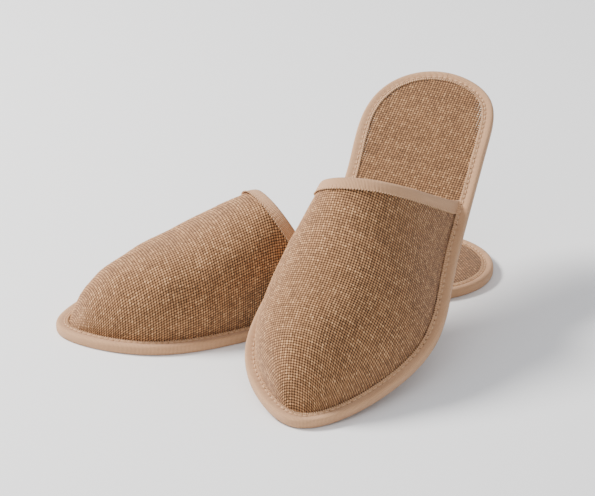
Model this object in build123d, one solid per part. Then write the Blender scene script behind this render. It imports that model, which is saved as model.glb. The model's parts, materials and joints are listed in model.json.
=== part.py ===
from build123d import *

import math
import os

# A pair of closed-toe spa slippers, millimetres, +Z up.
# The right slipper lies flat and points along +X. The left one leans on the right one's
# upper, heel in the air and toe on the ground. The origin is under the middle of the pair.
#
# One slipper is drawn in its own frame first: x runs from the heel (0) to the toe (LENGTH),
# +y is the outer side of a left foot, and z = 0 is the underside of the sole. The right
# slipper is the mirror image of that.

# ---- sole outline: half-widths at stations along the length
LENGTH = 280.0
STATIONS = (0.045, 0.16, 0.36, 0.52, 0.68, 0.83, 0.95)
OUTER_WIDTHS = (29.8, 39.1, 45.1, 51.0, 56.1, 43.3, 22.4)
INNER_WIDTHS = (30.1, 41.7, 35.4, 43.7, 51.2, 47.6, 25.5)
HEEL_Y = -1.3
TOE_Y = 1.2

# ---- sole layers, from the ground up
RIM_HEIGHT = 6.2
TAPE = 0.6
OUTSOLE_TOP = 1.8
FOAM_TOP = 4.8
INSOLE_TOP = RIM_HEIGHT - TAPE
RIM_WIDTH = 7.0
RIM_SEAM_INSET = 5.4
THREAD = 0.4
SEAM_WIDTH = 0.8

# ---- the sole bends here, behind the upper
FLEX_X = 80.0
FLEX_Z = RIM_HEIGHT / 2
FLEX_RADIUS = 3.9
FLEX_GAP = 0.3

# ---- upper: shells from the outside in
BURLAP = 1.1
PADDING = 1.8
LINING = 0.6
UPPER_INSET = 7.9
UPPER_TOE_INSET = 8.5
FOOT_DEPTH = 2.0
ARCH_POWER = 0.97
CREST_SHIFT = -15.5
CREST_FADE = 0.85
THROAT_TAPE_WIDTH = 6.5
THROAT_SEAM_BACK = 1.1

# ---- the turned-up toe of the leaning slipper
CURL_START = 190.0

# ---- how the two slippers lie: heel point, heading, pitch and roll of the leaning one
LEFT_HEEL = (14.82, -28.86, 113.96)
LEFT_HEADING = 46.35
LEFT_PITCH = 27.15
LEFT_ROLL = -4.23
LEFT_TOE_CURL = 19.16

# each upper: where its throat edge lies at the crest and at the foot, how that edge bows and
# slews across the slipper, and crest heights over the insole from the throat to the toe
RIGHT_UPPER = dict(crest_x=155.3, side_x=113.2, bow=0.83, slew=0.128,
                   heights=(70.6, 60.8, 50.5, 44.4, 34.2, 19.0, 8.0))
LEFT_UPPER = dict(crest_x=131.6, side_x=97.3, bow=0.75, slew=-0.19,
                  heights=(56.0, 50.4, 47.0, 42.5, 34.5, 20.5, 8.0))
HEIGHT_STEPS = (0.0, 0.2, 0.4, 0.6, 0.8, 0.93, 1.0)

# sections that the upper is lofted through, as shares of its length, and points round each
UPPER_SECTIONS = (0.0, 0.13, 0.28, 0.43, 0.58, 0.72, 0.84, 0.93, 0.98, 1.0)
ARCH_STEPS = 12
BEHIND_THROAT = 14.0
TOE_SETBACK = 1.5

# points up the throat edge's side view, as shares of the crest's height
THROAT_SHARES = (0.0, 0.1, 0.25, 0.5, 0.75, 1.0, 1.3)

# construction sizes: how far cutting shapes reach past the slipper, and small laps
REACH = 90.0
HEEL_OVERRUN = 10.0
TOE_OVERRUN = 20.0
CURL_MIDDLE = 30.0
PLAN_POINTS = 40
LAP = 0.1


def outline_points():
    """The sole outline's control points, round the slipper from the heel."""
    inner = [(f * LENGTH, -w) for f, w in zip(STATIONS, INNER_WIDTHS)]
    outer = [(f * LENGTH, w) for f, w in zip(STATIONS, OUTER_WIDTHS)]
    return [(0, HEEL_Y)] + inner + [(LENGTH, TOE_Y)] + outer[::-1]


OUTLINE = Spline(*outline_points(), periodic=True)
OUTLINE_SAMPLES = 360


def inset_points(inset, count=OUTLINE_SAMPLES):
    """Points of the outline moved inwards by inset."""
    points = []
    for i in range(count):
        place = OUTLINE.position_at(i / count)
        along = OUTLINE.tangent_at(i / count)
        points.append((place.X - along.Y * inset, place.Y + along.X * inset))
    return points


def half_widths(x, inset):
    """Lowest and highest y of the inset outline at a station x."""
    points = inset_points(inset)
    crossings = []
    for (xa, ya), (xb, yb) in zip(points, points[1:] + points[:1]):
        if (xa - x) * (xb - x) <= 0 and xa != xb:
            crossings.append(ya + (yb - ya) * (x - xa) / (xb - xa))
    return min(crossings), max(crossings)


def curl_radius(toe_curl):
    return (LENGTH - CURL_START) / math.radians(toe_curl)


def on_sole(x, y, z, toe_curl):
    """A point of the flat slipper, moved to where the turned-up toe carries it."""
    if toe_curl == 0 or x <= CURL_START:
        return Vector(x, y, z)
    radius = curl_radius(toe_curl)
    turn = (x - CURL_START) / radius
    return Vector(CURL_START + (radius - z) * math.sin(turn), y, radius - (radius - z) * math.cos(turn))


def plan_column(inset, toe_curl):
    """A vertical column with the sole's outline, moved inwards by inset."""
    points = [on_sole(x, y, RIM_HEIGHT / 2, toe_curl) for x, y in inset_points(inset, PLAN_POINTS)]
    edge = Spline(*[(p.X, p.Y) for p in points], periodic=True)
    return extrude(Pos(0, 0, -REACH) * make_face(edge), 2 * REACH)


def layer(low, high, inset, toe_curl):
    """A sheet between two heights over the sole's underside, following the toe's curl."""
    def rail(z):
        start = on_sole(-HEEL_OVERRUN, 0, z, toe_curl)
        bend = on_sole(CURL_START, 0, z, toe_curl)
        middle = on_sole(LENGTH - CURL_MIDDLE, 0, z, toe_curl)
        end = on_sole(LENGTH + TOE_OVERRUN, 0, z, toe_curl)
        straight = Line(start, bend)
        if toe_curl == 0:
            return straight + Line(bend, end)
        return straight + ThreePointArc(bend, middle, end)
    bottom, top = rail(low), rail(high)
    ends = Line(bottom @ 0, top @ 0) + Line(bottom @ 1, top @ 1)
    side = make_face(bottom + top + ends)
    return extrude(side, REACH, dir=(0, 1, 0), both=True) & plan_column(inset, toe_curl)


def ring(low, high, outside, inside, toe_curl):
    return layer(low, high, outside, toe_curl) - plan_column(inside, toe_curl)


def crest_share(x, upper):
    """How far a station x lies from the throat (0) to the toe (1)."""
    front = LENGTH - UPPER_TOE_INSET
    return min(1.0, max(0.0, (x - upper["crest_x"]) / (front - upper["crest_x"])))


def crest_height(x, upper):
    """Height of the upper's crest over the insole at a station x."""
    share = crest_share(x, upper)
    heights = upper["heights"]
    for a, b, low, high in zip(HEIGHT_STEPS, HEIGHT_STEPS[1:], heights, heights[1:]):
        if share <= b:
            return low + (high - low) * (share - a) / (b - a)
    return heights[-1]


def arch(x, inward, upper, toe_curl, x_shape):
    """One closed cross-section of the upper, moved inwards from its outer face.

    x is where the section stands, x_shape where its width and height are read."""
    low, high = half_widths(x_shape, UPPER_INSET)
    middle = (low + high) / 2
    half = (high - low) / 2 - inward
    rise = crest_height(x_shape, upper) - inward
    foot = INSOLE_TOP - FOOT_DEPTH - inward / 2
    shift = CREST_SHIFT * (1 - CREST_FADE * crest_share(x_shape, upper))
    points = []
    for step in range(ARCH_STEPS + 1):
        angle = math.pi * step / ARCH_STEPS
        spread = math.copysign(abs(math.cos(angle)) ** ARCH_POWER, math.cos(angle))
        y = middle + half * spread + shift * math.sin(angle)
        z = foot + (INSOLE_TOP + rise - foot) * math.sin(angle) ** ARCH_POWER
        points.append(on_sole(x, y, z, toe_curl))
    return make_face(Spline(*points) + Line(points[-1], points[0]))


def dome(inward, upper, toe_curl):
    """The closed space under one face of the upper, run on past its foot and its throat."""
    back = upper["side_x"] - BEHIND_THROAT - inward
    front = LENGTH - UPPER_TOE_INSET - TOE_SETBACK
    sections = []
    for share in UPPER_SECTIONS:
        x_shape = back + (front - back) * share
        sections.append(arch(x_shape - inward * share ** 3, inward, upper, toe_curl, x_shape))
    return loft(sections)


def throat_region(offset, upper):
    """All the space in front of the throat edge moved forwards by offset."""
    low, high = half_widths(upper["side_x"], UPPER_INSET)
    foot = INSOLE_TOP - FOOT_DEPTH
    crest = INSOLE_TOP + upper["heights"][0]
    points = []
    for share in THROAT_SHARES:
        x = upper["side_x"] + (upper["crest_x"] - upper["side_x"]) * share ** upper["bow"]
        points.append((x + offset, (low + high) / 2, foot + (crest - foot) * share))
    middle = points[0][1]
    far = LENGTH + REACH
    rest = Polyline(points[-1], (far, middle, points[-1][2]), (far, middle, -REACH),
                    (points[0][0], middle, -REACH), points[0])
    return extrude(make_face(Spline(*points) + rest), REACH, dir=(upper["slew"], 1, 0), both=True)


def split_at_flex(solid):
    """The heel and front parts of a sole piece, rounded about the flex axis."""
    behind = Pos(FLEX_X - REACH, 0, 0) * Box(2 * REACH, 2 * REACH, 2 * REACH)
    axis = Pos(FLEX_X, 0, FLEX_Z) * Rot(90, 0, 0)
    heel = solid & (behind + axis * Cylinder(FLEX_RADIUS, 2 * REACH))
    front = solid - (behind + axis * Cylinder(FLEX_RADIUS + FLEX_GAP, 2 * REACH))
    return heel, front


def sole_pieces(toe_curl):
    """The sole's layers and its edge tape, each cut in two at the flex line."""
    tread = layer(0, TAPE + LAP, RIM_WIDTH + LAP, toe_curl) + layer(TAPE, OUTSOLE_TOP, TAPE, toe_curl)
    stack = layer(TAPE, INSOLE_TOP, TAPE, toe_curl)
    whole = {
        "outsole": tread,
        "foam_sole": layer(OUTSOLE_TOP, FOAM_TOP, TAPE, toe_curl),
        "insole_cover": layer(FOAM_TOP, INSOLE_TOP, TAPE, toe_curl),
        "rim_binding": ring(0, RIM_HEIGHT, 0, RIM_WIDTH, toe_curl) - stack,
        "rim_stitching": ring(RIM_HEIGHT, RIM_HEIGHT + THREAD, RIM_SEAM_INSET,
                              RIM_SEAM_INSET + SEAM_WIDTH, toe_curl),
    }
    pieces = {}
    for name, solid in whole.items():
        heel, front = split_at_flex(solid)
        pieces[name + "_heel"] = heel
        pieces[name + "_front"] = front
    return pieces


def upper_pieces(upper, toe_curl):
    """The upper's three nested shells and the tape sewn over its throat edge."""
    depths = [0, BURLAP, BURLAP + PADDING, BURLAP + PADDING + LINING]
    shells = [dome(depth, upper, toe_curl) for depth in depths]
    above = layer(INSOLE_TOP, REACH, RIM_WIDTH + LAP, toe_curl)
    covered = throat_region(0, upper) & above
    pieces = {
        "upper_burlap": (shells[0] - shells[1]) & covered,
        "upper_padding": (shells[1] - shells[2]) & covered,
        "upper_lining": (shells[2] - shells[3]) & covered,
    }
    outside = dome(-TAPE, upper, toe_curl)
    inside = dome(depths[-1] + TAPE, upper, toe_curl)
    band = (throat_region(-TAPE, upper) - throat_region(THROAT_TAPE_WIDTH, upper)) & above
    binding = ((outside - inside) & band) - ((shells[0] - shells[3]) & covered)
    pieces["throat_binding"] = max(binding.solids(), key=lambda piece: piece.volume)
    seam_at = THROAT_TAPE_WIDTH - THROAT_SEAM_BACK
    seam = (throat_region(seam_at - SEAM_WIDTH, upper) - throat_region(seam_at, upper)) & above
    pieces["throat_stitching"] = (dome(-TAPE - THREAD, upper, toe_curl) - outside) & seam
    return pieces


def slipper(upper, toe_curl):
    return {**sole_pieces(toe_curl), **upper_pieces(upper, toe_curl)}


def placed_pair():
    """Every piece where it lies, by node name."""
    pieces = {}
    for name, solid in slipper(RIGHT_UPPER, 0).items():
        pieces["right_" + name] = mirror(solid, about=Plane.XZ)
    tilt = Rot(0, 0, LEFT_HEADING) * Rot(0, LEFT_PITCH, 0) * Rot(LEFT_ROLL, 0, 0)
    for name, solid in slipper(LEFT_UPPER, LEFT_TOE_CURL).items():
        pieces["left_" + name] = Pos(*LEFT_HEEL) * tilt * solid
    return pieces


pair = placed_pair()
low = [min(getattr(s.bounding_box().min, axis) for s in pair.values()) for axis in "XYZ"]
high = [max(getattr(s.bounding_box().max, axis) for s in pair.values()) for axis in "XYZ"]
to_origin = Pos(-(low[0] + high[0]) / 2, -(low[1] + high[1]) / 2, -low[2])
print("box", [round(b - a, 2) for a, b in zip(low, high)])
print("right heel point", [round(v, 3) for v in to_origin.position])
print("left heel point", [round(a + b, 3) for a, b in zip(to_origin.position, LEFT_HEEL)])

os.makedirs("parts", exist_ok=True)
for name, solid in pair.items():
    export_step(to_origin * solid, f"parts/{name}.step")
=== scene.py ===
import json
import math

import bmesh
import bpy
import numpy as np
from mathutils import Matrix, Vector


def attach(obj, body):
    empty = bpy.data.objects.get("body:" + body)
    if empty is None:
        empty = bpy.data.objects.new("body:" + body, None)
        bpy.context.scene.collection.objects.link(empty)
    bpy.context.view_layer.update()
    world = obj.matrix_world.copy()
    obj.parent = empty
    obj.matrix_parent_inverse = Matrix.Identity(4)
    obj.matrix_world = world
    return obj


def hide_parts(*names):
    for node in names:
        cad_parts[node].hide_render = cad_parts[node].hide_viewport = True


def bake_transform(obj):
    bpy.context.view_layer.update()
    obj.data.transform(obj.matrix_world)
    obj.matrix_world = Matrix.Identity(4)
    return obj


# Looks of a pair of jute spa slippers. Shapes are worked out in each slipper's own frame, in
# millimetres: x from the heel to the toe, y to the outer side of a left foot, z up from the
# sole's underside. Slipper.place() takes them to the row frame, in metres.

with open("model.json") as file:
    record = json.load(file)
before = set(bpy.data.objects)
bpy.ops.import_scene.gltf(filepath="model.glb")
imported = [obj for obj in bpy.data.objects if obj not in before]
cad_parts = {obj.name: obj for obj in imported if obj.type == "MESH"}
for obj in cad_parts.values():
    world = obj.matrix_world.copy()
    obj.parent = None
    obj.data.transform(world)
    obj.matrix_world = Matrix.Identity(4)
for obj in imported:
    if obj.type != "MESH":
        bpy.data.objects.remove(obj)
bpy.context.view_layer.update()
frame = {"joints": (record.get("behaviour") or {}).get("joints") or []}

MM = 0.001
LENGTH = 280.0
STATIONS = (0.045, 0.16, 0.36, 0.52, 0.68, 0.83, 0.95)
OUTER_WIDTHS = (29.8, 39.1, 45.1, 51.0, 56.1, 43.3, 22.4)
INNER_WIDTHS = (30.1, 41.7, 35.4, 43.7, 51.2, 47.6, 25.5)
HEEL_Y = -1.3
TOE_Y = 1.2
RIM_HEIGHT = 6.2
TAPE = 0.6
CHORD_POWER = 0.5
INSOLE_TOP = RIM_HEIGHT - TAPE
UPPER_INSET = 7.4
UPPER_TOE_INSET = 8.0
FOOT_DEPTH = 2.0
TOE_END = -1.4
ARCH_POWER = 0.97
CREST_SHIFT = -15.5
CREST_FADE = 0.85
FLEX = (80.0, 0.0, 3.1)
FLEX_REACH = 10.0
CURL_START = 190.0
HEIGHT_STEPS = (0.0, 0.2, 0.4, 0.6, 0.8, 0.93, 1.0)

YARN = 1.62
SAMPLES = 2
WEAVE_RISE = 0.5
STITCH_PITCH = 3.9
EDGE_PITCH = 1.6
RIM_SEAM = 5.1
THROAT_STITCH_PITCH = 2.6
THROAT_SEAM = 5.3

# each slab's edge from top to bottom, as (inset from the sole's outline, height)
FOAM_EDGE = ((1.0, 5.1), (0.7, 4.9), (0.7, 1.9), (0.9, 1.85))
OUTSOLE_EDGE = ((1.0, 1.8), (0.8, 1.7), (0.8, 0.7), (6.9, 0.62), (7.3, 0.35))

# the rim tape's closed section as (inset from the outline, height): the first RIM_OUTSIDE of
# its points are the face that shows, from the lip over the top, down the side and under
RIM_SECTION = (
    (7.0, 5.35), (7.15, 5.75), (6.7, 6.1), (6.0, 5.98), (5.1, 5.55), (4.2, 5.8), (3.0, 6.02), (1.9, 6.2),
    (1.0, 6.02), (0.4, 5.55), (0.1, 4.7), (0.0, 3.6), (0.02, 2.4), (0.15, 1.3), (0.5, 0.5), (1.1, 0.12),
    (2.2, 0.0), (4.5, 0.0), (6.9, 0.02), (7.0, 0.5), (4.5, 0.6), (1.6, 0.62), (0.75, 1.2), (0.6, 3.2),
    (0.75, 4.9), (1.8, 5.5), (4.5, 5.4))
RIM_OUTSIDE = 19
RIM_LIP = 7.0

# the throat tape's closed section as (distance into the upper, height over its surface)
THROAT_SECTION = (
    (6.6, 0.25), (6.7, 0.75), (6.1, 0.98), (5.3, 0.9), (4.0, 1.02), (2.2, 1.08), (0.6, 1.05), (-0.4, 0.8),
    (-0.95, 0.1), (-0.95, -0.9), (-0.4, -1.6), (0.6, -1.85), (3.0, -1.9), (6.4, -1.85), (6.5, -1.35),
    (3.0, -1.3), (0.6, -1.2), (0.0, -0.4), (0.5, 0.45), (3.0, 0.5))
THROAT_LIP = 6.6

# how many points a tape, a slab or a line has along its run
OUTLINE_POINTS = 2400
RIM_POINTS = 1060
THROAT_POINTS = 420
SLAB_POINTS = 420
THREAD_LINE_POINTS = 900

# soft unevenness, each layer as (height, width, seed)
UPPER_DENTS = ((0.8, 34.0, 31), (0.35, 13.0, 32))
INSOLE_DENTS = ((0.15, 28.0, 11),)
RIM_RUCKS = ((0.10, 3.1, 2), (0.12, 17.0, 4))
RIM_WANDER = ((0.18, 6.0, 8), (0.25, 41.0, 9))
THROAT_WANDER = ((0.15, 5.0, 21), (0.2, 33.0, 22))
DENT_FADE = 20.0

# the weave: how far a yarn's middle rises and dips, and the level taken as the cloth's surface
YARN_WAVE = 0.6
YARN_LEVEL = 0.8

# the upper's tables, and how far the cloth starts ahead of the throat's edge
UPPER_STATIONS = 900
ARC_POINTS = 181
CLOTH_SETBACK = 1.0

# the insole cloth: where it is cut, and its crown over the foam
INSOLE_CUT = 4.6
INSOLE_TOE_CUT = 5.0
INSOLE_DIP = 0.35
CROWN_RISE = 0.5
CROWN_REACH = 5.0
CROWN_INSET = 5.0
CROWN_END = 4.0
INSOLE_HALF_YARNS = 40

LINING_ROWS = 60
LINING_COLUMNS = 61
LINING_DEPTH = 1.6

HOLE_DEPTH = 0.75
THROAT_HOLE_DEPTH = 0.3
STITCH_LENGTH = 2.9
STITCH_RADIUS = 0.3
STITCH_HEIGHT = 5.72
LOOP_INSET = 6.7
LOOP_HEIGHT = 6.0
LOOP_LENGTH = 1.9
LOOP_SLANT = 0.25
LOOP_RADIUS = 0.27
THROAT_THREAD_END = 2.0
THROAT_THREAD_INSET = 6.7
THROAT_THREAD_HEIGHT = 0.75
THROAT_THREAD_LENGTH = 1.7
THROAT_THREAD_RADIUS = 0.26
DOT_PITCH = 5.0
DOT_MARGIN = 9.5
DOT_END_MARGIN = 11
DOT_SIDES = 8
DOT_RINGS = ((1.1, 0.5), (0.95, 0.18), (0.5, 0.03))

# what the camera aims at, from the flat slipper's heel point
AIM = (126.5, -1.1, 30.0)
AZIMUTH = 159.09
ELEVATION = 26.1
DISTANCE = 1.85
LENS = 184.01
FLOOR_REACH = 12.0


# ---------------------------------------------------------------- curves and small maths

def closed_spline(points):
    """A smooth closed curve through points, as a function of 0..1."""
    points = np.array(points, float)
    count = len(points)
    chords = np.linalg.norm(np.roll(points, -1, 0) - points, axis=1) ** CHORD_POWER
    knots = np.concatenate([[0.0], np.cumsum(chords)])
    system = np.zeros((count, count))
    right = np.zeros((count, 2))
    for i in range(count):
        before, after = chords[i - 1], chords[i]
        system[i, i - 1] += before / 6
        system[i, i] += (before + after) / 3
        system[i, (i + 1) % count] += after / 6
        right[i] = (points[(i + 1) % count] - points[i]) / after - (points[i] - points[i - 1]) / before
    bend = np.linalg.solve(system, right)

    def curve(share):
        at = np.mod(share, 1.0) * knots[-1]
        i = np.clip(np.searchsorted(knots, at, side="right") - 1, 0, count - 1)
        j = (i + 1) % count
        step = chords[i][:, None]
        a = (knots[i + 1] - at)[:, None] / step
        b = 1 - a
        curved = ((a ** 3 - a) * bend[i] + (b ** 3 - b) * bend[j]) * step ** 2 / 6
        return a * points[i] + b * points[j] + curved
    return curve


def outline_points():
    """Points that shape the sole of a left foot, from the heel round the inner side."""
    inner = [(f * LENGTH, -w) for f, w in zip(STATIONS, INNER_WIDTHS)]
    outer = [(f * LENGTH, w) for f, w in zip(STATIONS, OUTER_WIDTHS)]
    return [(0, HEEL_Y)] + inner + [(LENGTH, TOE_Y)] + outer[::-1]


def even_outline(count):
    """count points evenly spaced round the sole, with their outward normals and arc lengths."""
    curve = closed_spline(outline_points())
    fine = curve(np.arange(6000) / 6000)
    steps = np.linalg.norm(np.roll(fine, -1, 0) - fine, axis=1)
    lengths = np.concatenate([[0.0], np.cumsum(steps)])
    wanted = np.arange(count) / count * lengths[-1]
    closed = np.vstack([fine, fine[:1]])
    x = np.interp(wanted, lengths, closed[:, 0])
    y = np.interp(wanted, lengths, closed[:, 1])
    points = np.column_stack([x, y])
    along = np.roll(points, -1, 0) - np.roll(points, 1, 0)
    along /= np.linalg.norm(along, axis=1)[:, None]
    outward = np.column_stack([along[:, 1], -along[:, 0]])
    return points, outward, wanted, lengths[-1]


EDGE, EDGE_OUT, _, EDGE_LENGTH = even_outline(OUTLINE_POINTS)


def side_limits(x, inset):
    """Lowest and highest y of the outline moved inwards by inset, at each x."""
    moved = EDGE - EDGE_OUT * inset
    limits = []
    for side in (-1, 1):
        half = moved[moved[:, 1] * side > 0]
        half = half[np.argsort(half[:, 0])]
        limits.append(np.interp(x, half[:, 0], half[:, 1]))
    return limits


def rotation(heading, pitch, roll):
    """The turn of a slipper's frame: rolled, then tipped toe down, then turned to its heading."""
    h, p, r = np.radians([heading, pitch, roll])
    turn = np.array([[math.cos(h), -math.sin(h), 0], [math.sin(h), math.cos(h), 0], [0, 0, 1]])
    tip = np.array([[math.cos(p), 0, math.sin(p)], [0, 1, 0], [-math.sin(p), 0, math.cos(p)]])
    lean = np.array([[1, 0, 0], [0, math.cos(r), -math.sin(r)], [0, math.sin(r), math.cos(r)]])
    return turn @ tip @ lean


def smooth_noise(x, y, scale, seed):
    """Soft value noise from -1 to 1 over a plane."""
    u, v = np.asarray(x, float) / scale, np.asarray(y, float) / scale
    i, j = np.floor(u), np.floor(v)
    fu, fv = u - i, v - j
    fu, fv = fu * fu * (3 - 2 * fu), fv * fv * (3 - 2 * fv)

    def lattice(a, b):
        value = np.sin(a * 127.1 + b * 311.7 + seed * 74.7) * 43758.5453
        return (value - np.floor(value)) * 2 - 1
    low = lattice(i, j) * (1 - fu) + lattice(i + 1, j) * fu
    high = lattice(i, j + 1) * (1 - fu) + lattice(i + 1, j + 1) * fu
    return low * (1 - fv) + high * fv


def layered_noise(x, y, layers):
    """The sum of several soft noises, each layer as (height, width, seed)."""
    return sum(height * smooth_noise(x, y, width, seed) for height, width, seed in layers)


# ---------------------------------------------------------------- one slipper's own frame

class Slipper:
    """One slipper: where it stands, how far its toe curls up, and the shape of its upper."""

    def __init__(self, side, heading, pitch, roll, toe_curl, crest_x, side_x, bow, slew, heights):
        self.side = side
        self.mirror = -1 if side == "right" else 1
        self.turn = rotation(heading, pitch, roll)
        self.curl = math.radians(toe_curl)
        self.crest_x, self.side_x, self.heights = crest_x, side_x, heights
        self.bow, self.slew = bow, slew
        joint = [j for j in frame["joints"] if j["name"] == side + "_sole_flex"][0]
        self.heel = np.array(joint["pos_m"]) / MM - self.turn @ np.array(FLEX)
        self.front_body = side + "_forefoot"
        self.heel_body = side + "_heel"

    def place(self, points):
        """Points of the slipper's flat frame, in the row frame in metres."""
        p = np.array(points, float).reshape(-1, 3)
        if self.curl:
            radius = (LENGTH - CURL_START) / self.curl
            past = p[:, 0] > CURL_START
            angle = (p[past, 0] - CURL_START) / radius
            arm = radius - p[past, 2]
            p[past, 0] = CURL_START + arm * np.sin(angle)
            p[past, 2] = radius - arm * np.cos(angle)
        p[:, 1] *= self.mirror
        return (p @ self.turn.T + self.heel) * MM

    def crest(self, x):
        """Height of the upper's top over the insole at station x."""
        front = LENGTH - UPPER_TOE_INSET
        share = np.clip((x - self.crest_x) / (front - self.crest_x), 0, 1)
        heights = list(self.heights[:-1]) + [TOE_END]
        fine = np.linspace(0, 1, 201)
        rough = np.interp(fine, HEIGHT_STEPS, heights)
        soft = np.convolve(np.pad(rough, 12, mode="edge"), np.hanning(25) / np.hanning(25).sum(), "valid")
        soft[-12:] = np.interp(fine[-12:], HEIGHT_STEPS, heights)
        return np.interp(share, fine, soft)

    def arch(self, x, angle, inward=0.0):
        """The upper's surface at station x and angle 0..pi round the arch."""
        low, high = side_limits(x, UPPER_INSET)
        middle, half = (low + high) / 2, (high - low) / 2 - inward
        rise = self.crest(x) - inward
        foot = INSOLE_TOP - FOOT_DEPTH
        spread = np.sign(np.cos(angle)) * np.abs(np.cos(angle)) ** ARCH_POWER
        up = np.abs(np.sin(angle)) ** ARCH_POWER
        share = np.clip((x - self.crest_x) / (LENGTH - UPPER_TOE_INSET - self.crest_x), 0, 1)
        y = middle + half * spread + CREST_SHIFT * (1 - CREST_FADE * share) * np.sin(angle)
        z = foot + (INSOLE_TOP + rise - foot) * up
        return np.stack([x + 0 * y, y, z], axis=-1)

    def throat_x(self, angle):
        """Station of the upper's open edge at each angle round the arch."""
        foot = INSOLE_TOP - FOOT_DEPTH
        low, high = side_limits(np.array([self.side_x]), UPPER_INSET)
        x = np.full_like(angle, (self.side_x + self.crest_x) / 2)
        for _ in range(6):
            place = self.arch(x, angle)
            share = np.clip((place[..., 2] - foot) / (INSOLE_TOP + self.heights[0] - foot), 0, 1.2)
            x = self.side_x + (self.crest_x - self.side_x) * share ** self.bow
            x = x + self.slew * (place[..., 1] - (low + high) / 2)
        return x


def slipper_pair():
    """The flat right slipper, and the left one that leans on it with its toe down."""
    right = Slipper("right", 0, 0, 0, 0, 155.3, 113.2, 0.83, 0.128,
                    (70.6, 60.8, 50.5, 44.4, 34.2, 19.0, 8.0))
    left = Slipper("left", 46.35, 27.15, -4.23, 19.16, 131.6, 97.3, 0.75, -0.19,
                   (56.0, 50.4, 47.0, 42.5, 34.5, 20.5, 8.0))
    return right, left


# ---------------------------------------------------------------- meshes

def make_piece(name, slipper, points, faces, material, uv=None):
    """A mesh piece from points in the slipper's frame; uv is one pair for each point."""
    mesh = bpy.data.meshes.new(name)
    faces = np.asarray(faces)
    if slipper.mirror < 0:
        faces = faces[:, ::-1]
    mesh.from_pydata(slipper.place(points).tolist(), [], faces.tolist())
    if uv is not None:
        layer = mesh.uv_layers.new(name="cloth")
        loops = np.zeros(len(mesh.loops), np.int32)
        mesh.loops.foreach_get("vertex_index", loops)
        layer.data.foreach_set("uv", np.asarray(uv, np.float32)[loops].ravel())
    mesh.polygons.foreach_set("use_smooth", [True] * len(mesh.polygons))
    mesh.materials.append(material)
    mesh.update()
    piece = bpy.data.objects.new(name, mesh)
    bpy.context.scene.collection.objects.link(piece)
    return piece


def grid_faces(rows, columns, wrap_rows=False, wrap_columns=False):
    """Quads of a grid of points, optionally closed along either way."""
    i = np.arange(rows if wrap_rows else rows - 1)
    j = np.arange(columns if wrap_columns else columns - 1)
    a, b = np.meshgrid(i, j, indexing="ij")
    c, d = (a + 1) % rows, (b + 1) % columns
    quads = np.stack([a * columns + b, c * columns + b, c * columns + d, a * columns + d], axis=-1)
    return quads.reshape(-1, 4)


def keep_faces(points, uv, quads, kept):
    """The quads whose corners are all kept, and only the points that they use."""
    quads = quads[kept[quads].all(axis=1)]
    used = np.unique(quads)
    renumber = np.full(len(points), -1)
    renumber[used] = np.arange(len(used))
    return points[used], uv[used], renumber[quads]


def weave_height(u, v):
    """Height of a plain weave's surface, in units of its rise; one yarn is one unit wide."""
    fu, fv = u - np.floor(u) - 0.5, v - np.floor(v) - 0.5
    sign = np.where((np.floor(u) + np.floor(v)) % 2 == 0, 1.0, -1.0)
    along_v = YARN_WAVE * sign * np.cos(math.pi * fv) + np.sqrt(np.clip(1 - (fu / 0.5) ** 2, 0, 1))
    along_u = -YARN_WAVE * sign * np.cos(math.pi * fu) + np.sqrt(np.clip(1 - (fv / 0.5) ** 2, 0, 1))
    return np.maximum(along_v, along_u) - YARN_LEVEL


def woven(points_of, u, v):
    """Points of a surface with the weave's relief on it. points_of(u, v) gives the surface."""
    base = points_of(u, v)
    step = 0.5
    du = points_of(u + step, v) - points_of(u - step, v)
    dv = points_of(u, v + step) - points_of(u, v - step)
    normal = np.cross(du, dv)
    normal /= np.maximum(np.linalg.norm(normal, axis=-1, keepdims=True), 1e-9)
    warp_slub = smooth_noise(np.floor(u) * 9.1, v, 5.0, 3)
    weft_slub = smooth_noise(u, np.floor(v) * 7.3, 5.0, 5)
    slub = 1 + 0.25 * warp_slub + 0.25 * weft_slub
    relief = WEAVE_RISE * weave_height(u, v) * slub
    return base + normal * relief[..., None]


def capsule_row(centres, directions, ups, lengths, radius, sides=6, rings=5):
    """Many short rounded threads as one set of points and quads."""
    points, faces = [], []
    ring_at = np.linspace(-1, 1, rings)
    ring_size = np.sqrt(np.clip(1 - np.abs(ring_at) ** 3, 0.02, 1))
    around = np.arange(sides) / sides * 2 * math.pi
    across = np.cross(directions, ups)
    across /= np.linalg.norm(across, axis=1)[:, None]
    arc = 1 - ring_at ** 2
    body = grid_faces(rings, sides, wrap_columns=True)
    for k in range(len(centres)):
        middle = (centres[k] + directions[k] * lengths[k] / 2 * ring_at[:, None]
                  + ups[k] * radius * 0.9 * arc[:, None])
        circle = np.cos(around)[:, None] * across[k] + np.sin(around)[:, None] * ups[k]
        ringed = middle[:, None, :] + radius * ring_size[:, None, None] * circle[None]
        faces.append(body + k * rings * sides)
        points.append(ringed.reshape(-1, 3))
    return np.vstack(points), np.vstack(faces)


# ---------------------------------------------------------------- materials

def new_material(name, roughness):
    material = bpy.data.materials.new(name)
    material.use_nodes = True
    shader = material.node_tree.nodes["Principled BSDF"]
    shader.inputs["Roughness"].default_value = roughness
    return material, shader


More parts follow.
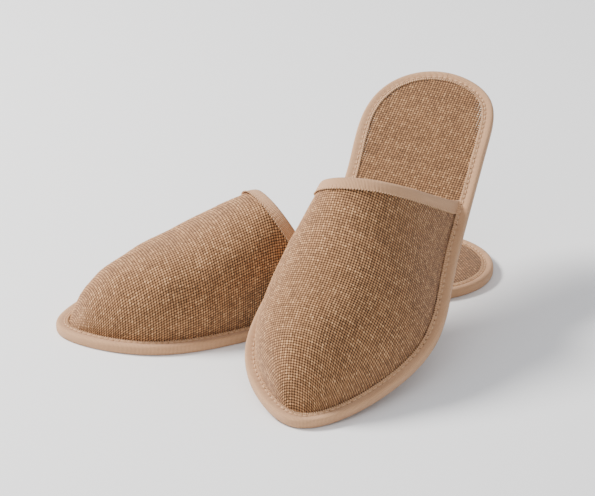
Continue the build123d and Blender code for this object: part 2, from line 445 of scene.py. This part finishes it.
class Nodes:
    """Short calls that add nodes to a material and link them."""

    def __init__(self, material):
        self.tree = material.node_tree

    def add(self, kind, **settings):
        node = self.tree.nodes.new(kind)
        for key, value in settings.items():
            setattr(node, key, value)
        return node

    def put(self, socket, value):
        if isinstance(value, bpy.types.NodeSocket):
            self.tree.links.new(value, socket)
        else:
            socket.default_value = value

    def math(self, operation, a, b=None, c=None):
        node = self.add("ShaderNodeMath", operation=operation)
        for socket, value in zip(node.inputs, (a, b, c)):
            if value is not None:
                self.put(socket, value)
        return node.outputs[0]

    def uv(self):
        split = self.add("ShaderNodeSeparateXYZ")
        source = self.add("ShaderNodeUVMap", uv_map="cloth")
        self.put(split.inputs[0], source.outputs[0])
        return split.outputs[0], split.outputs[1]

    def vector(self, x, y, z=0.0):
        node = self.add("ShaderNodeCombineXYZ")
        for socket, value in zip(node.inputs, (x, y, z)):
            self.put(socket, value)
        return node.outputs[0]

    def noise(self, vector, scale, detail=2.0, roughness=0.5):
        node = self.add("ShaderNodeTexNoise")
        self.put(node.inputs["Vector"], vector)
        self.put(node.inputs["Scale"], scale)
        self.put(node.inputs["Detail"], detail)
        self.put(node.inputs["Roughness"], roughness)
        return node.outputs[0]

    def random(self, value, seed):
        node = self.add("ShaderNodeTexWhiteNoise", noise_dimensions="2D")
        self.put(node.inputs["Vector"], self.vector(value, seed))
        return node.outputs["Value"]

    def ramp(self, value, stops):
        node = self.add("ShaderNodeValToRGB")
        self.put(node.inputs[0], value)
        elements = node.color_ramp.elements
        while len(elements) < len(stops):
            elements.new(0.5)
        for element, (at, colour) in zip(elements, stops):
            element.position = at
            element.color = (*colour, 1)
        return node.outputs[0]

    def mix(self, share, a, b, kind="MIX"):
        node = self.add("ShaderNodeMix", data_type="RGBA", blend_type=kind)
        self.put(node.inputs[0], share)
        self.put(node.inputs[6], a)
        self.put(node.inputs[7], b)
        return node.outputs[2]

    def bump(self, height, distance, strength=1.0):
        node = self.add("ShaderNodeBump")
        self.put(node.inputs["Height"], height)
        node.inputs["Distance"].default_value = distance
        node.inputs["Strength"].default_value = strength
        return node.outputs[0]


def burlap_material(name, tint):
    """Jute in a plain weave: yarns over and under, uneven, with painted shade in the gaps between them and
    painted highlights on their tops.
    """
    material, shader = new_material(name, 0.88)
    n = Nodes(material)
    u, v = n.uv()
    iu, iv = n.math("FLOOR", u), n.math("FLOOR", v)
    fu = n.math("SUBTRACT", n.math("SUBTRACT", u, iu), 0.5)
    fv = n.math("SUBTRACT", n.math("SUBTRACT", v, iv), 0.5)
    odd = n.math("FLOORED_MODULO", n.math("ADD", iu, iv), 2.0)
    sign = n.math("SUBTRACT", 1.0, n.math("MULTIPLY", odd, 2.0))

    def yarn_height(across, along, way):
        wave = n.math("MULTIPLY", n.math("COSINE", n.math("MULTIPLY", along, math.pi)), way)
        edge = n.math("MULTIPLY", n.math("MULTIPLY", across, across), 4.6)
        round_top = n.math("SQRT", n.math("MAXIMUM", n.math("SUBTRACT", 1.0, edge), 0.0))
        return n.math("ADD", n.math("MULTIPLY", wave, YARN_WAVE), round_top)

    warp = yarn_height(fu, fv, sign)
    weft = yarn_height(fv, fu, n.math("MULTIPLY", sign, -1.0))
    on_top = n.math("GREATER_THAN", warp, weft)
    height = n.math("MAXIMUM", warp, weft)
    along_warp = n.vector(n.math("MULTIPLY", iu, 3.7), n.math("MULTIPLY", v, 0.16))
    along_weft = n.vector(n.math("MULTIPLY", u, 0.16), n.math("MULTIPLY", iv, 3.7), 9.0)
    warp_tone = n.math("MULTIPLY_ADD", n.noise(along_warp, 1.0, 2.0), 0.62,
                       n.math("MULTIPLY", n.random(iu, 1.0), 0.38))
    weft_tone = n.math("MULTIPLY_ADD", n.noise(along_weft, 1.0, 2.0), 0.62,
                       n.math("MULTIPLY", n.random(iv, 2.0), 0.38))
    picked = n.add("ShaderNodeMix", data_type="FLOAT")
    n.put(picked.inputs[0], on_top)
    n.put(picked.inputs[2], weft_tone)
    n.put(picked.inputs[3], warp_tone)
    crossing = n.random(n.math("MULTIPLY_ADD", iu, 57.0, iv), 3.0)
    tone = n.math("MULTIPLY_ADD", crossing, 0.42, n.math("MULTIPLY", picked.outputs[0], 0.58))
    yarn_colour = n.ramp(tone, [(0.20, (0.17, 0.078, 0.030)), (0.42, (0.31, 0.155, 0.068)),
                                (0.60, (0.42, 0.225, 0.105)), (0.82, (0.66, 0.40, 0.205))])
    reddish = n.noise(n.vector(u, v, 4.0), 0.35, 3.0)
    warm = n.math("MULTIPLY", n.math("GREATER_THAN", reddish, 0.62), 0.28)
    yarn_colour = n.mix(warm, yarn_colour, (0.42, 0.19, 0.075, 1))
    fibres = n.noise(n.vector(n.math("MULTIPLY", u, 5.0), n.math("MULTIPLY", v, 5.0)), 1.6, 3.0, 0.7)
    fibre_colour = n.ramp(fibres, [(0.3, (0.15, 0.07, 0.03)), (0.75, (0.74, 0.48, 0.27))])
    yarn_colour = n.mix(0.30, yarn_colour, fibre_colour)
    # painted shade and highlight: the yarn colour is darkened in the gaps between yarns and brightened past
    # its own colour on the yarn tops
    painted_shade_and_highlight = n.ramp(n.math("MULTIPLY", height, 0.62), [(0.36, (0.05, 0.03, 0.02)), (0.60, (0.45, 0.38, 0.33)),
                                                      (0.80, (0.95, 0.90, 0.82)), (0.98, (1.5, 1.42, 1.3))])
    colour = n.mix(1.0, n.mix(1.0, yarn_colour, painted_shade_and_highlight, "MULTIPLY"), tint, "MULTIPLY")
    n.put(shader.inputs["Base Color"], colour)
    relief = n.math("MULTIPLY_ADD", fibres, 0.35, height)
    n.put(shader.inputs["Normal"], n.bump(relief, 0.00035, 0.75))
    shader.inputs["Sheen Weight"].default_value = 0.12
    shader.inputs["Sheen Roughness"].default_value = 0.5
    shader.inputs["Specular IOR Level"].default_value = 0.25
    return material


def tape_material(name, light, dark, rib):
    """Woven binding tape: fine ribs across it and a slightly uneven tone."""
    material, shader = new_material(name, 0.82)
    n = Nodes(material)
    u, v = n.uv()
    ribs = n.math("SINE", n.math("MULTIPLY", u, 2 * math.pi / rib))
    picks = n.math("SINE", n.math("MULTIPLY", v, 2 * math.pi / 0.45))
    grain = n.noise(n.vector(u, v), 1.4, 3.0, 0.65)
    patches = n.noise(n.vector(n.math("MULTIPLY", u, 0.03), n.math("MULTIPLY", v, 0.2)), 1.0, 2.0)
    tone = n.math("ADD", n.math("MULTIPLY", grain, 0.55), n.math("MULTIPLY", patches, 0.45))
    colour = n.mix(n.math("MULTIPLY_ADD", ribs, 0.3, tone), dark, light)
    n.put(shader.inputs["Base Color"], colour)
    relief = n.math("ADD", n.math("MULTIPLY", ribs, 0.5), n.math("MULTIPLY", picks, 0.25))
    n.put(shader.inputs["Normal"], n.bump(n.math("ADD", relief, grain), 0.00022, 0.9))
    shader.inputs["Sheen Weight"].default_value = 0.15
    shader.inputs["Specular IOR Level"].default_value = 0.3
    return material


def plain_material(name, light, dark, scale, roughness, bump):
    """A fibrous or foamy surface: mottled tone and fine bumps."""
    material, shader = new_material(name, roughness)
    n = Nodes(material)
    place = n.add("ShaderNodeTexCoord").outputs["Object"]
    speckle = n.noise(place, scale, 4.0, 0.65)
    n.put(shader.inputs["Base Color"], n.mix(speckle, dark, light))
    n.put(shader.inputs["Normal"], n.bump(speckle, bump, 0.8))
    shader.inputs["Specular IOR Level"].default_value = 0.3
    return material


# ---------------------------------------------------------------- pieces of one slipper

def cloth_grid(rows, columns, points_of, kept_of):
    """A woven cloth as a grid of points, with uv in yarns, kept where kept_of allows."""
    v, u = np.meshgrid(rows, columns, indexing="ij")
    points = woven(points_of, u, v).reshape(-1, 3)
    uv = np.column_stack([u.ravel(), v.ravel()])
    return keep_faces(points, uv, grid_faces(len(rows), len(columns)), kept_of(u, v).ravel())


def upper_tables(slipper):
    """Stations a yarn apart along the crest, with arch angle against arc length at each."""
    fine = np.linspace(slipper.side_x - 6, LENGTH - UPPER_TOE_INSET - 0.2, UPPER_STATIONS)
    crest = slipper.arch(fine, np.full_like(fine, math.pi / 2))
    run = np.concatenate([[0.0], np.cumsum(np.linalg.norm(np.diff(crest, axis=0), axis=1))])
    angles = np.linspace(0, math.pi, ARC_POINTS)
    x, a = np.meshgrid(fine, angles, indexing="ij")
    arcs = slipper.arch(x, a)
    steps = np.linalg.norm(np.diff(arcs, axis=1), axis=2)
    lengths = np.concatenate([np.zeros((len(fine), 1)), np.cumsum(steps, axis=1)], axis=1)
    lengths -= lengths[:, ARC_POINTS // 2][:, None]
    return fine, run, angles, lengths


def upper_cloth(slipper, material):
    """The upper's woven outer, its yarns along and across the slipper."""
    fine, run, angles, lengths = upper_tables(slipper)

    def station(v):
        return np.interp(v * YARN, run, fine)

    def angle_at(u, x):
        last = len(fine) - 1
        position = np.clip((x[:, 0] - fine[0]) / (fine[-1] - fine[0]) * last, 0, last)
        below = np.clip(position.astype(int), 0, last - 1)
        angle = np.empty(u.shape)
        for row, (i, share) in enumerate(zip(below, position - below)):
            table = lengths[i] * (1 - share) + lengths[i + 1] * share
            angle[row] = np.interp(u[row] * YARN, table, angles)
        return angle

    def points_of(u, v):
        x = station(v)
        place = slipper.arch(x, angle_at(u, x))
        soft = layered_noise(x, place[..., 1], UPPER_DENTS)
        place[..., 2] += soft * np.clip((place[..., 2] - INSOLE_TOP) / DENT_FADE, 0, 1)
        return place

    def kept_of(u, v):
        x = station(v)
        angle = angle_at(u, x)
        ahead = x > slipper.throat_x(angle) + CLOTH_SETBACK
        inside = (angle > 0.004) & (angle < math.pi - 0.004)
        return ahead & inside

    rows = np.arange(0, run[-1] / YARN - 0.2, 1 / SAMPLES)
    reach = math.ceil(np.abs(lengths).max() / YARN) + 1
    columns = np.arange(-reach, reach, 1 / SAMPLES)
    points, uv, faces = cloth_grid(rows, columns, points_of, kept_of)
    piece = make_piece(slipper.side + "_upper_cloth", slipper, points, faces, material, uv)
    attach(piece, slipper.front_body)
    return piece


def insole_cloth(slipper, material):
    """The woven insole, slightly crowned over the foam and pulled down at the tape."""
    def points_of(u, v):
        x, y = v * YARN, u * YARN
        low, high = side_limits(x, CROWN_INSET)
        room = np.minimum(y - low, high - y)
        room = np.minimum(room, np.minimum(x - CROWN_END, LENGTH - CROWN_END - x))
        crown = CROWN_RISE * (1 - np.exp(-np.clip(room, 0, None) / CROWN_REACH))
        crown = crown + layered_noise(x, y, INSOLE_DENTS)
        return np.stack([x, y, INSOLE_TOP - INSOLE_DIP + crown], axis=-1)

    def kept_of(u, v):
        x, y = v * YARN, u * YARN
        low, high = side_limits(x, INSOLE_CUT)
        return (y > low) & (y < high) & (x > INSOLE_CUT) & (x < LENGTH - INSOLE_TOE_CUT)

    rows = np.arange(2, LENGTH / YARN - 2, 1 / SAMPLES)
    columns = np.arange(-INSOLE_HALF_YARNS, INSOLE_HALF_YARNS, 1 / SAMPLES)
    points, uv, faces = cloth_grid(rows, columns, points_of, kept_of)
    piece = make_piece(slipper.side + "_insole_cloth", slipper, points, faces, material, uv)
    return bend_with_sole(piece, slipper)


def bend_with_sole(piece, slipper):
    """Bakes a piece's placement into its mesh; the points either side of the sole's flex line are worked out
    but not used, so the piece does not bend.
    """
    start = slipper.place([(FLEX[0] - FLEX_REACH, 0, FLEX[2])])[0]
    end = slipper.place([(FLEX[0] + FLEX_REACH, 0, FLEX[2])])[0]
    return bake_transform(piece)


def rim_tape(slipper, material):
    """The tape round the sole's edge: over the top, down the side and under."""
    section = np.array(RIM_SECTION)
    count = RIM_POINTS
    rim_points, outward, along, total = even_outline(count)
    inset, z = section[:, 0], section[:, 1]
    seam = np.exp(-((inset - RIM_SEAM) / 0.9) ** 2) * (z > 5.5)
    lip = np.exp(-((inset - RIM_LIP) / 0.7) ** 2) * (z > 5.3)
    pitch = total / round(total / STITCH_PITCH)
    phase = np.mod(along, pitch) / pitch
    hole = np.exp(-((phase - 0.5) / 0.14) ** 2)
    ruck = layered_noise(along, 0 * along, RIM_RUCKS)
    wander = layered_noise(along, 0 * along, RIM_WANDER)
    outer = (np.arange(len(section)) < RIM_OUTSIDE).astype(float)
    rise = z[None] - HOLE_DEPTH * hole[:, None] * seam[None] + ruck[:, None] * (seam + lip)[None]
    moved = inset[None] + wander[:, None] * (lip * outer)[None] + 0.08 * ruck[:, None] * outer[None]
    xy = rim_points[:, None, :] - outward[:, None, :] * moved[..., None]
    points = np.concatenate([xy, rise[..., None]], axis=2).reshape(-1, 3)
    across = np.concatenate([[0.0], np.cumsum(np.linalg.norm(np.diff(section, axis=0), axis=1))])
    uv = np.stack(np.broadcast_arrays(along[:, None], across[None]), axis=-1).reshape(-1, 2)
    faces = grid_faces(count, len(section), wrap_rows=True, wrap_columns=True)
    piece = make_piece(slipper.side + "_rim_tape", slipper, points, faces, material, uv)
    return bend_with_sole(piece, slipper)


def rim_stitches(slipper, material):
    """Lock stitches along the tape, one short thread between each pair of holes."""
    count = round(EDGE_LENGTH / STITCH_PITCH)
    rim_points, outward, _, _ = even_outline(count)
    centres = np.column_stack([rim_points - outward * RIM_SEAM, np.full(count, STITCH_HEIGHT)])
    directions = np.column_stack([-outward[:, 1], outward[:, 0], np.zeros(count)])
    ups = np.tile([0.0, 0.0, 1.0], (count, 1))
    lengths = np.full(count, STITCH_LENGTH)
    points, faces = capsule_row(centres, directions, ups, lengths, STITCH_RADIUS)
    piece = make_piece(slipper.side + "_rim_stitches", slipper, points, faces, material)
    return bend_with_sole(piece, slipper)


def rim_edge_loops(slipper, material):
    """Small thread loops that whip the tape's inner edge down."""
    count = round(EDGE_LENGTH / EDGE_PITCH)
    rim_points, outward, along, _ = even_outline(count)
    centres = np.column_stack([rim_points - outward * LOOP_INSET, np.full(count, LOOP_HEIGHT)])
    slant = LOOP_SLANT + 0.15 * smooth_noise(along, 0 * along, 2.0, 14)
    tangent = np.column_stack([-outward[:, 1], outward[:, 0]])
    flat = -outward + tangent * slant[:, None]
    flat /= np.linalg.norm(flat, axis=1)[:, None]
    directions = np.column_stack([flat, np.full(count, -0.15)])
    ups = np.tile([0.0, 0.0, 1.0], (count, 1))
    lengths = LOOP_LENGTH + 0.45 * smooth_noise(along, 0 * along, 1.7, 15)
    points, faces = capsule_row(centres, directions, ups, lengths, LOOP_RADIUS, sides=5, rings=4)
    piece = make_piece(slipper.side + "_rim_edge_loops", slipper, points, faces, material)
    return bend_with_sole(piece, slipper)


def throat_line(slipper, count):
    """Points along the upper's open edge, with the way into the upper and the outward normal."""
    angles = np.linspace(0.02, math.pi - 0.02, count)
    x = slipper.throat_x(angles)
    line = slipper.arch(x, angles)
    ahead = slipper.arch(x + 1.0, angles) - line
    along = np.gradient(line, axis=0)
    along /= np.linalg.norm(along, axis=1)[:, None]
    normal = np.cross(along, ahead)
    normal /= np.linalg.norm(normal, axis=1)[:, None]
    inward = np.cross(normal, along)
    inward /= np.linalg.norm(inward, axis=1)[:, None]
    if inward[:, 0].mean() < 0:
        inward = -inward
    if normal[count // 2, 2] < 0:
        normal = -normal
    run = np.concatenate([[0.0], np.cumsum(np.linalg.norm(np.diff(line, axis=0), axis=1))])
    return line, along, inward, normal, run


def throat_tape(slipper, material):
    """The tape folded over the upper's open edge."""
    section = np.array(THROAT_SECTION)
    count = THROAT_POINTS
    line, _, inward, normal, run = throat_line(slipper, count)
    w, h = section[:, 0], section[:, 1]
    pitch = THROAT_STITCH_PITCH
    phase = np.mod(run, pitch) / pitch
    hole = np.exp(-((phase - 0.5) / 0.16) ** 2)
    seam = np.exp(-((w - THROAT_SEAM) / 0.7) ** 2) * (h > 0.4)
    lip = np.exp(-((w - THROAT_LIP) / 0.5) ** 2) * (h > 0)
    wander = layered_noise(run, 0 * run, THROAT_WANDER)
    height = h[None] - THROAT_HOLE_DEPTH * hole[:, None] * seam[None]
    reach = w[None] + wander[:, None] * lip[None]
    points = line[:, None] + inward[:, None] * reach[..., None] + normal[:, None] * height[..., None]
    across = np.concatenate([[0.0], np.cumsum(np.linalg.norm(np.diff(section, axis=0), axis=1))])
    uv = np.stack(np.broadcast_arrays(run[:, None], across[None]), axis=-1).reshape(-1, 2)
    faces = grid_faces(count, len(section), wrap_columns=True)
    piece = make_piece(slipper.side + "_throat_tape", slipper, points.reshape(-1, 3), faces, material, uv)
    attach(piece, slipper.front_body)
    return piece


def throat_threads(slipper, material):
    """The whipped row along the throat tape's lower edge."""
    line, along, inward, normal, run = throat_line(slipper, THREAD_LINE_POINTS)
    wanted = np.arange(THROAT_THREAD_END, run[-1] - THROAT_THREAD_END, EDGE_PITCH)

    def at(values):
        return np.column_stack([np.interp(wanted, run, values[:, k]) for k in range(3)])
    line, along, inward, normal = at(line), at(along), at(inward), at(normal)
    centres = line + inward * THROAT_THREAD_INSET + normal * THROAT_THREAD_HEIGHT
    directions = inward * 0.9 + along * 0.45
    directions /= np.linalg.norm(directions, axis=1)[:, None]
    lengths = np.full(len(wanted), THROAT_THREAD_LENGTH)
    points, faces = capsule_row(centres, directions, normal, lengths, THROAT_THREAD_RADIUS)
    piece = make_piece(slipper.side + "_throat_threads", slipper, points, faces, material)
    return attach(piece, slipper.front_body)


def upper_lining(slipper, material):
    """The smooth lining inside the upper, one sheet from foot to foot."""
    rows, columns = LINING_ROWS, LINING_COLUMNS
    angles = np.linspace(0.02, math.pi - 0.02, columns)
    share = np.linspace(0, 1, rows)[:, None]
    x = slipper.throat_x(angles)[None] + 0.5
    x = x + (LENGTH - UPPER_TOE_INSET - 4 - x) * share
    inward = LINING_DEPTH + LINING_DEPTH * np.clip(share * 8, 0, 1)
    points = slipper.arch(x, np.broadcast_to(angles, x.shape), inward)
    uv = np.stack(np.broadcast_arrays(share * 100, angles[None] * 50), axis=-1).reshape(-1, 2)
    piece = make_piece(slipper.side + "_upper_lining_cloth", slipper, points.reshape(-1, 3),
                       grid_faces(rows, columns), material, uv)
    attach(piece, slipper.front_body)
    return piece


def slab(slipper, name, section, material):
    """A closed sheet of the sole's outline: section lists (inset, z) from top to bottom."""
    count = SLAB_POINTS
    rim_points, outward, _, _ = even_outline(count)
    rings = []
    for inset, z in section:
        ring = rim_points - outward * inset
        rings.append(np.column_stack([ring, np.full(count, z)]))
    points = np.vstack(rings)
    faces = grid_faces(len(section), count, wrap_columns=True)
    piece = make_piece(name, slipper, points, faces, material)
    mesh = piece.data
    cap_slab(mesh, count, len(section), slipper.mirror)
    return bend_with_sole(piece, slipper)


def cap_slab(mesh, count, rings, mirror):
    """Closes a slab's top and bottom with strips between matching points of its two sides."""
    edit = bmesh.new()
    edit.from_mesh(mesh)
    edit.verts.ensure_lookup_table()
    for ring, flip in ((0, mirror > 0), (rings - 1, mirror < 0)):
        base = ring * count
        for i in range(count // 2):
            j = (count - i) % count
            a, b = base + i, base + i + 1
            c, d = base + (count - i - 1) % count, base + j
            corners = []
            for k in (a, b, c, d):
                if edit.verts[k] not in corners:
                    corners.append(edit.verts[k])
            if len(corners) > 2:
                edit.faces.new(corners if flip else corners[::-1])
    bmesh.ops.recalc_face_normals(edit, faces=edit.faces)
    edit.to_mesh(mesh)
    edit.free()


def grip_dots(slipper, material):
    """Rows of small grip dots on the outsole's underside."""
    columns, rows = np.arange(12, LENGTH - 8, DOT_PITCH), np.arange(-50, 52, DOT_PITCH)
    x, y = np.meshgrid(columns, rows, indexing="ij")
    y = y + DOT_PITCH / 2 * (np.round(x / DOT_PITCH) % 2)
    low, high = side_limits(x, DOT_MARGIN)
    good = (y > low) & (y < high) & (x > DOT_END_MARGIN) & (x < LENGTH - DOT_END_MARGIN)
    centres = np.column_stack([x[good], y[good]])
    around = np.arange(DOT_SIDES) / DOT_SIDES * 2 * math.pi
    circle = np.column_stack([np.cos(around), np.sin(around)])
    levels = [np.column_stack([radius * circle, np.full(DOT_SIDES, z)]) for radius, z in DOT_RINGS]
    shape = np.concatenate(levels)
    wall = grid_faces(len(DOT_RINGS), DOT_SIDES, wrap_columns=True)[:, ::-1]
    tip = np.array([(3, 2, 1, 0), (7, 4, 3, 0), (7, 6, 5, 4)]) + len(shape) - DOT_SIDES
    points = [shape + np.array([centre[0], centre[1], 0.0]) for centre in centres]
    walls = [wall + k * len(shape) for k in range(len(centres))]
    tips = [tip + k * len(shape) for k in range(len(centres))]
    faces = walls + tips
    piece = make_piece(slipper.side + "_grip_dots", slipper, np.vstack(points), np.vstack(faces), material)
    return bend_with_sole(piece, slipper)


# ---------------------------------------------------------------- build

def build(slipper, mats):
    """All the pieces of one slipper, with the CAD nodes that each one stands for."""
    side = slipper.side
    upper = upper_cloth(slipper, mats["burlap"])
    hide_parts(side + "_upper_burlap", side + "_upper_padding")
    insole = insole_cloth(slipper, mats["insole"])
    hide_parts(side + "_insole_cover_front", side + "_insole_cover_heel")
    tape = rim_tape(slipper, mats["tape"])
    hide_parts(side + "_rim_binding_front", side + "_rim_binding_heel")
    stitches = rim_stitches(slipper, mats["thread"])
    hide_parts(side + "_rim_stitching_front", side + "_rim_stitching_heel")
    loops = rim_edge_loops(slipper, mats["thread"])
    throat = throat_tape(slipper, mats["tape"])
    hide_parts(side + "_throat_binding")
    threads = throat_threads(slipper, mats["thread"])
    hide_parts(side + "_throat_stitching")
    lining = upper_lining(slipper, mats["lining"])
    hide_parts(side + "_upper_lining")
    foam = slab(slipper, side + "_foam_slab", FOAM_EDGE, mats["foam"])
    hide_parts(side + "_foam_sole_front", side + "_foam_sole_heel")
    tread = slab(slipper, side + "_outsole_sheet", OUTSOLE_EDGE, mats["outsole"])
    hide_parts(side + "_outsole_front", side + "_outsole_heel")
    dots = grip_dots(slipper, mats["outsole"])


def studio(flat_heel):
    """Pale seamless floor, soft light from the upper left, and the camera."""
    size = FLOOR_REACH
    mesh = bpy.data.meshes.new("floor")
    corners = [(-size, -size, 0), (size, -size, 0), (size, size, 0), (-size, size, 0)]
    mesh.from_pydata(corners, [], [(0, 1, 2, 3)])
    floor = bpy.data.objects.new("floor", mesh)
    bpy.context.scene.collection.objects.link(floor)
    material, shader = new_material("pale_floor", 0.6)
    shader.inputs["Base Color"].default_value = (0.90, 0.90, 0.90, 1)
    shader.inputs["Specular IOR Level"].default_value = 0.2
    mesh.materials.append(material)

    target = Vector((flat_heel + np.array(AIM)) * MM)
    azimuth, elevation, distance = math.radians(AZIMUTH), math.radians(ELEVATION), DISTANCE
    ahead = Vector((-math.sin(azimuth), math.cos(azimuth), 0))
    right = Vector((ahead.y, -ahead.x, 0))
    eye = target - ahead * distance * math.cos(elevation) + Vector((0, 0, distance * math.sin(elevation)))
    data = bpy.data.cameras.new("camera")
    data.sensor_width = 36
    data.lens = LENS
    data.clip_end = 50
    camera = bpy.data.objects.new("camera", data)
    bpy.context.scene.collection.objects.link(camera)
    camera.location = eye
    camera.rotation_euler = (target - eye).to_track_quat("-Z", "Y").to_euler()
    bpy.context.scene.camera = camera

    def lamp(name, side, back, height, size, power, colour):
        light = bpy.data.lights.new(name, "AREA")
        light.shape = "DISK"
        light.size = size
        light.energy = power
        light.color = colour
        lamp_object = bpy.data.objects.new(name, light)
        place = target + right * side + ahead * back + Vector((0, 0, height))
        lamp_object.location = place
        lamp_object.rotation_euler = (target - place).to_track_quat("-Z", "Y").to_euler()
        bpy.context.scene.collection.objects.link(lamp_object)

    lamp("key", -1.25, 0.3, 1.25, 0.6, 66, (1.0, 0.98, 0.95))
    lamp("fill", -0.3, -1.6, 1.5, 1.6, 12, (0.98, 0.99, 1.0))
    world = bpy.data.worlds.new("studio")
    world.use_nodes = True
    world.node_tree.nodes["Background"].inputs[0].default_value = (0.93, 0.95, 1.0, 1)
    world.node_tree.nodes["Background"].inputs[1].default_value = 0.74
    bpy.context.scene.world = world


def main():
    mats = {
        "burlap": burlap_material("jute_burlap", (0.95, 0.93, 0.92, 1)),
        # the insole's copy of the jute is tinted darker than the upper's: painted shade, for the lower light
        # on the insole
        "insole": burlap_material("jute_insole_painted_shade", (0.74, 0.71, 0.68, 1)),
        "tape": tape_material("binding_tape", (0.76, 0.45, 0.245, 1), (0.38, 0.19, 0.09, 1), 0.8),
        "thread": plain_material("sewing_thread", (0.88, 0.60, 0.37, 1),
                                 (0.52, 0.30, 0.15, 1), 2500, 0.7, 0.0001),
        "lining": plain_material("lining_cloth", (0.66, 0.54, 0.40, 1),
                                 (0.50, 0.39, 0.27, 1), 900, 0.9, 0.0002),
        "foam": plain_material("foam", (0.78, 0.70, 0.58, 1), (0.66, 0.57, 0.45, 1), 1500, 0.9, 0.0002),
        "outsole": plain_material("outsole_rubber", (0.40, 0.27, 0.17, 1),
                                  (0.30, 0.19, 0.12, 1), 1200, 0.75, 0.0001),
    }
    right, left = slipper_pair()
    build(right, mats)
    build(left, mats)
    studio(right.heel)


main()
bpy.context.view_layer.update()
